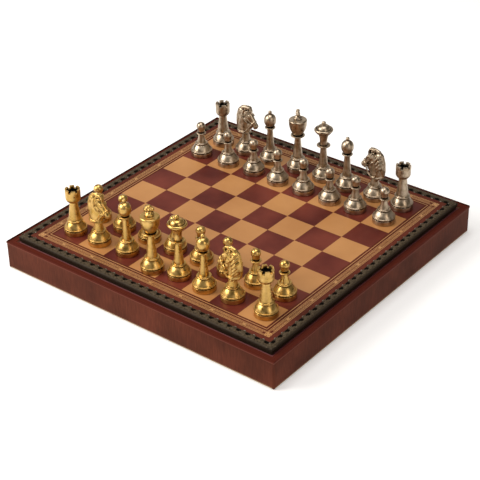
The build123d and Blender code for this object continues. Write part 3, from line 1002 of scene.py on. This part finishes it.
def tube(path, radii, count=8):
    """A closed round tube along a path of points."""
    bm = bmesh.new()
    points = [Vector(p) for p in path]
    loops = []
    for i, point in enumerate(points):
        along = (points[min(i + 1, len(points) - 1)] - points[max(i - 1, 0)]).normalized()
        turn = along.to_track_quat("Z", "Y").to_matrix().to_4x4()
        radius = radii[i] if isinstance(radii, (list, tuple)) else radii
        matrix = Matrix.Translation(point) @ turn @ Matrix.Diagonal((radius, radius, 1, 1))
        made = bmesh.ops.create_circle(bm, segments=count, radius=1.0, matrix=matrix)["verts"]
        loops.append(list({e for v in made for e in v.link_edges}))
    bridge(bm, loops)
    tidy_normals(bm)
    return bm


# %% The horse's body parts
NECK = [
    ((-1.6, 26.2), (1, 0.0), 6.6, 5.0), ((-1.8, 27.2), (1, 0.0), 7.8, 5.9),
    ((-2.2, 31.0), (1, 0.05), 8.2, 5.7), ((-2.9, 37.0), (1, 0.15), 7.6, 5.2),
    ((-3.0, 43.0), (1, 0.3), 7.2, 4.8), ((-2.4, 48.5), (1, 0.5), 6.8, 4.4),
    ((-0.8, 53.0), (1, 0.8), 5.4, 3.9), ((0.6, 55.8), (1, 1.2), 3.4, 3.0),
    ((1.2, 57.2), (1, 1.4), 1.4, 1.4),
]
HEAD = [
    ((-0.5, 51.5), (1, 1), 4.6, 3.4), ((1.6, 50.0), (1, 1), 6.6, 4.5), ((4.6, 47.3), (1, 1), 6.4, 4.7),
    ((7.8, 44.2), (1, 1), 5.0, 4.0), ((10.8, 41.2), (1, 1), 3.9, 3.1), ((13.2, 38.9), (1, 1), 3.5, 2.8),
    ((15.1, 37.2), (1, 1), 3.2, 2.8), ((16.4, 35.9), (1, 1), 2.2, 2.0),
]
CREST = [(5.6, 0, 55.6), (4.6, 0, 57.6), (1.0, 0, 58.2), (-3.6, 0, 56.6), (-7.8, 0, 52.2), (-10.0, 0, 45.0),
         (-10.6, 0, 37.0), (-10.0, 0, 31.0), (-8.6, 0, 27.4)]
CREST_RADII = [1.0, 1.5, 2.1, 2.4, 2.5, 2.4, 2.3, 2.1, 1.4]
LOCKS = 7
LOWEST_LOCK = 27.5


def make_horse():
    bm = skin(NECK)
    join(bm, skin(HEAD))
    join(bm, tube(CREST, CREST_RADII, 12))
    oval(bm, (-4.4, 0, 50.6), (5.4, 4.0, 6.4), (0, -20, 0), 18)
    oval(bm, (-7.4, 0, 41.0), (4.4, 4.4, 11.0), (0, 8, 0), 18)
    for side in (-1, 1):
        oval(bm, (2.6, 1.6 * side, 43.6), (4.4, 3.4, 4.8), (0, -30, 0))
        oval(bm, (8.7, 3.2 * side, 48.0), (1.5, 1.0, 1.1), (0, 45, 0))
        oval(bm, (15.4, 1.7 * side, 38.2), (1.5, 1.2, 1.2))
        oval(bm, (1.6, 2.2 * side, 57.2), (1.3, 0.8, 1.8), (0, 18, 0), 10)
        oval(bm, (12.0, 2.1 * side, 43.4), (3.2, 0.7, 0.8), (0, 45, 0), 10)
        join(bm, tube([(6.6, 3.4 * side, 50.2), (8.6, 3.9 * side, 49.7), (10.4, 3.2 * side, 48.0)], 0.6))
        # bridle: cheek strap, brow strap and rein
        join(bm, tube([(0.2, 3.6 * side, 55.2), (-1.2, 4.6 * side, 50.0), (0.2, 5.2 * side, 45.2),
                       (3.6, 5.2 * side, 42.0), (7.4, 4.2 * side, 40.2), (10.6, 3.4 * side, 38.6)], 0.6))
        join(bm, tube([(3.4, 4.1 * side, 53.0), (3.4, 5.0 * side, 49.6), (5.6, 4.9 * side, 45.4),
                       (9.2, 3.9 * side, 42.2), (11.8, 3.3 * side, 40.0)], 0.5))
        join(bm, tube([(11.2, 3.4 * side, 38.8), (8.4, 4.4 * side, 35.6), (5.6, 5.8 * side, 31.6),
                       (1.2, 6.6 * side, 28.4), (-4.6, 6.4 * side, 27.4), (-9.0, 3.4 * side, 28.2),
                       (-10.4, 0, 28.8)], 0.85))
        oval(bm, (11.2, 3.3 * side, 39.2), (1.2, 0.6, 1.2), (0, 0, 0), 10)
    join(bm, tube([(8.6, -3.2, 39.0), (11.6, -3.5, 40.6), (14.0, -1.8, 43.2), (14.4, 0, 43.8),
                   (14.0, 1.8, 43.2), (11.6, 3.5, 40.6), (8.6, 3.2, 39.0)], 0.6))
    join(bm, tube([(2.2, -4.2, 54.0), (6.2, -3.0, 54.2), (7.6, 0, 54.4), (6.2, 3.0, 54.2),
                   (2.2, 4.2, 54.0)], 0.55))
    oval(bm, (14.9, 0, 36.4), (2.4, 2.4, 1.5), (0, 45, 0))
    oval(bm, (12.9, 0, 34.9), (2.3, 1.9, 1.2), (0, 35, 0))
    oval(bm, (-1.4, 0, 26.6), (8.6, 6.4, 1.5), (0, 0, 0), 20)
    oval(bm, (6.2, 0, 36.4), (4.4, 2.6, 5.4), (0, 20, 0), 16)
    # mane: locks that fall forwards on the horse's left side
    for i in range(LOCKS):
        z = 54.4 - 4.0 * i
        x = -6.2 - 3.4 * math.sin(math.pi * min(1.0, i / LOCKS + 0.12))
        path = [(x, 1.4, z), (x + 2.2, 4.4, z - 2.4), (x + 4.6, 5.6, z - 6.2), (x + 6.4, 5.2, z - 10.0)]
        if path[-1][2] < LOWEST_LOCK:
            path = path[:-1]
        join(bm, tube(path, [1.5, 1.75, 1.5, 0.6][:len(path)]))
        under = [(x - 0.6, 0.2, z - 2.4), (x + 1.0, 3.0, z - 4.6), (x + 2.6, 4.6, z - 8.0)]
        join(bm, tube(under, [1.2, 1.3, 0.6]))
    oval(bm, (3.2, 0, 56.4), (3.2, 2.6, 2.0), (0, 20, 0), 14)
    for y in (-1.5, 0.0, 1.5):
        join(bm, tube([(2.4, y, 58.7), (6.4, y * 1.1, 58.3), (8.3, y * 0.9, 54.6), (9.0, y * 0.6, 51.2)],
                      [1.1, 1.1, 0.9, 0.4]))
    return bm


print("hoops in the neck:", len(NECK), "in the head:", len(HEAD))


# %% Melt the horse into one skin
HORSE_VOXEL = 0.34
SMOOTHINGS = 2


def melt(bm, voxel, smooth):
    """Voxel remesh a heap of closed shapes and smooth it a little."""
    mesh = bpy.data.meshes.new("heap")
    bm.to_mesh(mesh)
    bm.free()
    heap = bpy.data.objects.new("heap", mesh)
    bpy.context.scene.collection.objects.link(heap)
    remesh = heap.modifiers.new("remesh", "REMESH")
    remesh.mode = "VOXEL"
    remesh.voxel_size = voxel
    relax = heap.modifiers.new("relax", "SMOOTH")
    relax.factor = 0.5
    relax.iterations = smooth
    bpy.context.view_layer.update()
    done = bpy.data.meshes.new_from_object(heap.evaluated_get(bpy.context.evaluated_depsgraph_get()))
    result = bmesh.new()
    result.from_mesh(done)
    for item, store in ((heap, bpy.data.objects), (mesh, bpy.data.meshes), (done, bpy.data.meshes)):
        store.remove(item)
    return result


def make_knight():
    bm = lathe(foot(7.4) + stem(5.4, 3.8, 26.0) + [(3.9, 26.6), (0.0, 27.0)])
    join(bm, melt(make_horse(), HORSE_VOXEL, SMOOTHINGS))
    return bm


SHAPES["knight"] = make_knight()
print("knight faces:", len(SHAPES["knight"].faces))

# %% [markdown]
# ## Setting out the men
#
# Each kind is shaped once and then copied to its places, with a felt pad under its foot. A
# man's axis is the middle of its node's box. Only the knight leans out over its foot, so its
# axis is found from the side of the foot that its muzzle doesn't pass.

# %% Place the thirty-two men
MEN = ("rook_left", "knight_left", "bishop_left", "king", "queen", "bishop_right", "knight_right",
       "rook_right") + tuple(f"pawn_{i}" for i in range(1, 9))


def axis_of(node, facing):
    low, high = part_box(node)
    y = (low.y + high.y) / 2 / MM
    if "knight" not in node:
        return (low.x + high.x) / 2 / MM, y
    return (low.x / MM + PLINTH_RADIUS if facing == 0 else high.x / MM - PLINTH_RADIUS), y


def make_pad():
    bm = bmesh.new()
    radius = PAD_RADIUS - 0.1
    bmesh.ops.create_cone(
        bm, cap_ends=True, segments=48, radius1=radius, radius2=radius, depth=PAD_HEIGHT,
        matrix=Matrix.Translation((0, 0, PAD_HEIGHT / 2)))
    round_edges(bm, ridges_of(bm, 60), 0.15, clamp=False)
    return bm


def set_out_men():
    pad = make_pad()
    for colour in MOULDED:
        for man in MEN:
            node = f"{colour}_{man}"
            kind = man.split("_")[0]
            facing = 180.0 if man == "knight_right" else 0.0
            spot = (*axis_of(node, facing), SURFACE)
            body, plate = node + "_man", colour + "_metal"
            shape = KINGS[colour] if kind == "king" else SHAPES[kind]
            finish_piece(node + "_casting", shape, MOULDED[colour], body, node, spot, facing)
            # Painted shade: a black sleeve in a collar's gap, or a black cup in a rook's well.
            if kind in BLACKS:
                finish_piece(node + "_painted_shade", BLACKS[kind], PAINTED_SHADE_BLACK, body, None, spot)
            finish_piece(node + "_felt", pad, GREEN_FELT, body, None, spot)
    for bm in (pad, *SHAPES.values(), *KINGS.values(), *BLACKS.values()):
        bm.free()


set_out_men()

# %% [markdown]
# ## Sweeping round the box
#
# The covering and the moulding run round four sides. One helper carries a closed section
# along one side. A point of the section that lies further out makes a longer side, which
# gives the mitre. The covering's upright corners are rounded with a bevel.

# %% A mitred length
TURNS = {"front": 0, "right": 90, "back": 180, "left": 270}


def mitred_length(section, turn):
    """Carry a closed section of (outward, height) points along one side, mitred at both ends."""
    bm = bmesh.new()
    loops = []
    for end in (-1, 1):
        verts = [bm.verts.new((end * d, -d, z)) for d, z in section]
        loops.append([bm.edges.new(pair) for pair in zip(verts, verts[1:] + verts[:1])])
    bridge(bm, loops)
    turn_flat(bm, turn)
    tidy_normals(bm)
    return bm


print("sides:", list(TURNS))

# %% [markdown]
# ## The leatherette covering
#
# Leatherette is glued round the box in one wrap and folded over the rim. It never makes a
# sharp edge, so the ledge is rolled into the side with a wide soft curve. A creasing iron has
# left a fine line along the ledge.

# %% Covering
CREASE = 4.2
EDGE_ROLL = 1.3
SHEET_THICKNESS = 0.62
CORNER_ROUNDING = 2.6


def covering_section():
    out, top, low = BOX_HALF, LEDGE, WRAP_FOOT
    crease = out - CREASE
    steps = [(out, low), (out, top - EDGE_ROLL)]
    steps += [((out - EDGE_ROLL * 0.29, top - EDGE_ROLL * 0.29), (out - EDGE_ROLL, top))]
    steps += [(crease + 0.5, top), ((crease, top - 0.22), (crease - 0.5, top))]
    steps += [(WALL_INNER + 0.5, top), ((WALL_INNER + 0.12, top - 0.12), (WALL_INNER, top - 0.5))]
    inside = out - SHEET_THICKNESS
    steps += [(WALL_INNER, top - SHEET_THICKNESS), (inside, top - SHEET_THICKNESS), (inside, low)]
    return outline(steps, 5)


def make_covering():
    bm = bmesh.new()
    for turn in TURNS.values():
        side = mitred_length(covering_section(), turn)
        ends = [f for f in side.faces if len(f.verts) > 4]
        bmesh.ops.delete(side, geom=ends, context="FACES_ONLY")
        join(bm, side)
    tidy_normals(bm, 0.01)
    corners = [e for e in bm.edges
               if all(min(abs(v.co.x), abs(v.co.y)) > BOX_HALF - 0.01 for v in e.verts)]
    round_edges(bm, corners, CORNER_ROUNDING, 5, clamp=False)
    finish_piece("leather_covering", bm, COVERING, "box", "leatherette_wrap", sharp=50)
    print("covering faces:", len(bm.faces), "corner edges:", len(corners))
    bm.free()


make_covering()

# %% [markdown]
# ## The bronze moulding
#
# Each length is a mitred bar with a rolled and undercut outer side and a trough behind its
# crest. A row of leaves lies over the trough, cast with the bar: a broad root, a body with a
# vein, and lobes to both sides. Each tip curls up in paler metal, worn bare with a painted
# highlight, and a black strip in the trough between the leaves is painted shade. There are over
# a hundred leaves, so each lobe has only a few dozen faces.

# %% Moulding
LEAF_PITCH = 11.1
LEAVES = 28
TROUGH = 4.1
CREST_RISE = 0.8
SETBACK = 1.0
UNDERCUT = 1.7
REBATE = 4.0


def moulding_section():
    crest, inner, low = SURFACE + CREST_RISE, BORDER_HALF, MOULDING_FOOT
    out, lap = MOULDING_HALF - SETBACK, SURFACE - 0.75
    steps = [(inner, lap), (inner, SURFACE + 0.05), (inner + 0.35, SURFACE + 0.05)]
    steps += [(inner + 0.5, SURFACE - 0.5), (inner + TROUGH, SURFACE - 0.5)]
    steps += [(inner + TROUGH + 0.2, SURFACE + 0.4), (inner + TROUGH + 0.8, crest)]
    steps += [(out - 2.9, crest), (out - 2.7, crest - 0.4), (out - 2.3, crest - 0.3)]
    steps += [((out - 0.8, crest - 0.7), (out - 0.1, crest - 2.5))]
    steps += [((out - 0.6, crest - 3.8), (out - 0.5, crest - 4.6)), (out - 0.9, crest - 4.9)]
    steps += [(out - UNDERCUT, low), (inner + REBATE, low), (inner + REBATE, lap)]
    return outline(steps, 6)


# Painted shade: a black strip in the trough, where shade falls between the leaves.
def shade_strip_section():
    inner, end = BORDER_HALF + 0.55, BORDER_HALF + TROUGH + 0.1
    return [(inner, SURFACE - 0.45), (inner, SURFACE - 0.15), (end, SURFACE - 0.15), (end, SURFACE - 0.45)]


def make_leaf():
    """One leaf, rooted at the origin and pointing along +Y: a root, a body, a vein and lobes."""
    bm = bmesh.new()
    oval(bm, (0, 0.2, 0.3), (2.9, 1.9, 0.95), (-4, 0, 0), 12)
    oval(bm, (0, 2.9, 0.1), (1.9, 2.3, 0.8), (-8, 0, 0), 12)
    oval(bm, (0, 2.2, 0.85), (0.4, 3.0, 0.35), (-8, 0, 0), 8)
    for side in (-1, 1):
        oval(bm, (2.5 * side, 0.5, 0.3), (1.8, 1.3, 0.8), (0, 0, -25 * side), 8)
        oval(bm, (1.9 * side, 2.9, 0.1), (1.5, 1.0, 0.6), (0, 0, 35 * side), 8)
        oval(bm, (3.6 * side, -1.9, 0.6), (1.9, 0.8, 0.6), (0, 0, 25 * side), 8)
    return bm


def make_curl():
    """The curl at a leaf's tip in paler metal: worn bare, with a painted highlight."""
    bm = bmesh.new()
    oval(bm, (0, 4.6, 0.25), (1.3, 0.55, 0.5), (0, 0, 0), 8)
    return bm


def leaf_places(side):
    """Where the leaves of one side stand: a straight row, and one leaf in the corner."""
    turn = Matrix.Rotation(math.radians(TURNS[side]), 4, "Z")
    root = BORDER_HALF + TROUGH + 0.4
    steps = [(i - (LEAVES - 1) / 2) * LEAF_PITCH for i in range(LEAVES)]
    places = [turn @ Matrix.Translation((step, -root, SURFACE)) for step in steps]
    corner = Matrix.Translation((root, -root, SURFACE)) @ Matrix.Rotation(math.radians(45), 4, "Z")
    return places + [turn @ corner]


def make_moulding(side, leaf, curl):
    bm, curls = mitred_length(moulding_section(), TURNS[side]), bmesh.new()
    for place in leaf_places(side):
        stamp(bm, leaf, place)
        stamp(curls, curl, place)
    finish_piece("bronze_moulding_" + side, bm, BRONZE, "board", "moulding_" + side)
    # Curled tips: worn metal with a painted highlight.
    finish_piece("bronze_curls_" + side, curls, WORN_BRONZE_AND_HIGHLIGHT, "board")
    shade_strip = mitred_length(shade_strip_section(), TURNS[side])
    finish_piece("bronze_painted_shade_" + side, shade_strip, PAINTED_SHADE_BLACK, "board")
    print(side, "moulding faces:", len(bm.faces))
    for done in (bm, curls, shade_strip):
        done.free()


def make_mouldings():
    leaf, curl = make_leaf(), make_curl()
    for side in TURNS:
        make_moulding(side, leaf, curl)
    leaf.free()
    curl.free()


make_mouldings()

# %% [markdown]
# ## Gold tooling
#
# A finisher presses a heated brass roll through gold leaf into the leather. The roll repeats
# one small pattern. Here the pattern is a pair of facing arches with a bead in each, between
# two fine rules, with a square flower after every few arches and in each corner. All of it is
# thin foil with real thickness, so it catches the light as pressed gold does.

# %% Tooled band
FOIL = 0.1
BAND_INNER = BAND_OUTER - 6.6
ARCH_PITCH = 3.3
ARCHES_PER_FLOWER = 12
FLOWER_SIZE, CORNER_SIZE = 3.4, 4.6
FRAME_OFFSET, FRAME_REACH = 3.05, 3.3


def foil_bar(bm, x0, x1, y0, y1):
    """A flat bar of foil between two corners."""
    middle = Matrix.Translation(((x0 + x1) / 2, (y0 + y1) / 2, SURFACE + FOIL / 2))
    bmesh.ops.create_cube(bm, size=1.0, matrix=middle @ Matrix.Diagonal((x1 - x0, y1 - y0, FOIL, 1)))


def foil_ring(bm, x, y, outer, inner, start, sweep, count=6):
    """A flat curved strip: a short radial bar spun about its centre."""
    loose = bmesh.new()
    a = math.radians(start)
    ends = [loose.verts.new((x + r * math.cos(a), y + r * math.sin(a), SURFACE)) for r in (inner, outer)]
    edge = loose.edges.new(ends)
    bmesh.ops.spin(loose, geom=ends + [edge], cent=(x, y, 0), axis=(0, 0, 1), angle=math.radians(sweep),
                   steps=count, use_merge=sweep >= 360)
    bmesh.ops.remove_doubles(loose, verts=loose.verts, dist=0.001)
    grown = bmesh.ops.extrude_face_region(loose, geom=loose.faces[:])["geom"]
    raised = [v for v in grown if isinstance(v, bmesh.types.BMVert)]
    bmesh.ops.translate(loose, verts=raised, vec=(0, 0, FOIL))
    tidy_normals(loose)
    join(bm, loose)


def make_arches():
    """Two arches that face each other, a bead in each, and a dot between pairs."""
    bm = bmesh.new()
    for y, start in ((-1.6, 0), (1.6, 180)):
        foil_ring(bm, 0, y, 1.32, 1.02, start, 180)
        foil_ring(bm, 0, y, 0.35, 0.0, start, 180, 4)
    foil_ring(bm, ARCH_PITCH / 2, 0, 0.4, 0.0, 0, 360, 6)
    return bm


def make_flower(size):
    bm = bmesh.new()
    for i in range(4):
        a = math.radians(90 * i + 45)
        x, y = size * 0.46 * math.cos(a), size * 0.46 * math.sin(a)
        foil_ring(bm, x, y, size * 0.30, size * 0.10, 0, 360, 8)
    foil_ring(bm, 0, 0, size * 0.26, 0.0, 0, 360, 8)
    return bm


def make_band_side(turn, arches, flower):
    bars = bmesh.new()
    y = -(BAND_INNER + BAND_OUTER) / 2
    reach = BAND_INNER - 0.4
    for low, high in ((BAND_INNER, BAND_INNER + 0.5), (BAND_INNER + 1.3, BAND_INNER + 1.7),
                      (BAND_OUTER - 1.7, BAND_OUTER - 1.3), (BAND_OUTER - 0.5, BAND_OUTER)):
        foil_bar(bars, -reach, reach, -high, -low)
    count = int(2 * (reach - 1.8) // ARCH_PITCH)
    for i in range(count):
        motif = flower if (i - count // 2) % ARCHES_PER_FLOWER == 0 else arches
        stamp(bars, motif, Matrix.Translation(((i - (count - 1) / 2) * ARCH_PITCH, y, 0)))
    turn_flat(bars, turn)
    return bars


def make_tooling():
    band, arches, flower, rosette = bmesh.new(), make_arches(), make_flower(FLOWER_SIZE), make_flower(CORNER_SIZE)
    for turn in TURNS.values():
        join(band, make_band_side(turn, arches, flower))
    finish_piece("tooled_gold_band", band, GOLD_FOIL, "board", "tooled_band")
    corners = bmesh.new()
    middle = (BAND_INNER + BAND_OUTER) / 2
    for x in (-middle, middle):
        for y in (-middle, middle):
            stamp(corners, rosette, Matrix.Translation((x, y, 0)))
            for offset in (-FRAME_OFFSET, FRAME_OFFSET):
                foil_bar(corners, x + offset - 0.25, x + offset + 0.25, y - FRAME_REACH, y + FRAME_REACH)
                foil_bar(corners, x - FRAME_REACH, x + FRAME_REACH, y + offset - 0.25, y + offset + 0.25)
    finish_piece("corner_gold_flowers", corners, GOLD_FOIL, "board", "corner_rosettes")
    print("band faces:", len(band.faces), "flower faces:", len(corners.faces))
    for bm in (band, arches, flower, rosette, corners):
        bm.free()


make_tooling()

# %% [markdown]
# ## Finishes for the pieces that keep their own shape
#
# Tiles, panels, walls and rails are already right in the mechanical model. New meshes would
# only repeat them, so each keeps its own and is given its finish.

# %% Finish the remaining nodes
NODE_FINISH = {
    "border_sheet": BURGUNDY, "dark_squares": DARK_TILE, "light_squares": LIGHT_TILE,
    "gold_rule": GOLD_FOIL,
    "base_felt": GREEN_FELT, "board_underfelt": GREEN_FELT, "storage_lining": RED_FLOCK,
    "base_panel": PLAIN_WOOD, "board_panel": PLAIN_WOOD,
}
kept_nodes = []
for name, node in frame["nodes"].items():
    finish = NODE_FINISH.get(name)
    if name.startswith("wall_"):
        finish = PLAIN_WOOD
    if name.startswith(("rail_", "divider_")):
        finish = RED_FLOCK
    if finish:
        node.data.materials.clear()
        node.data.materials.append(finish)
        kept_nodes.append(name)
print("nodes that keep their shape:", len(kept_nodes))
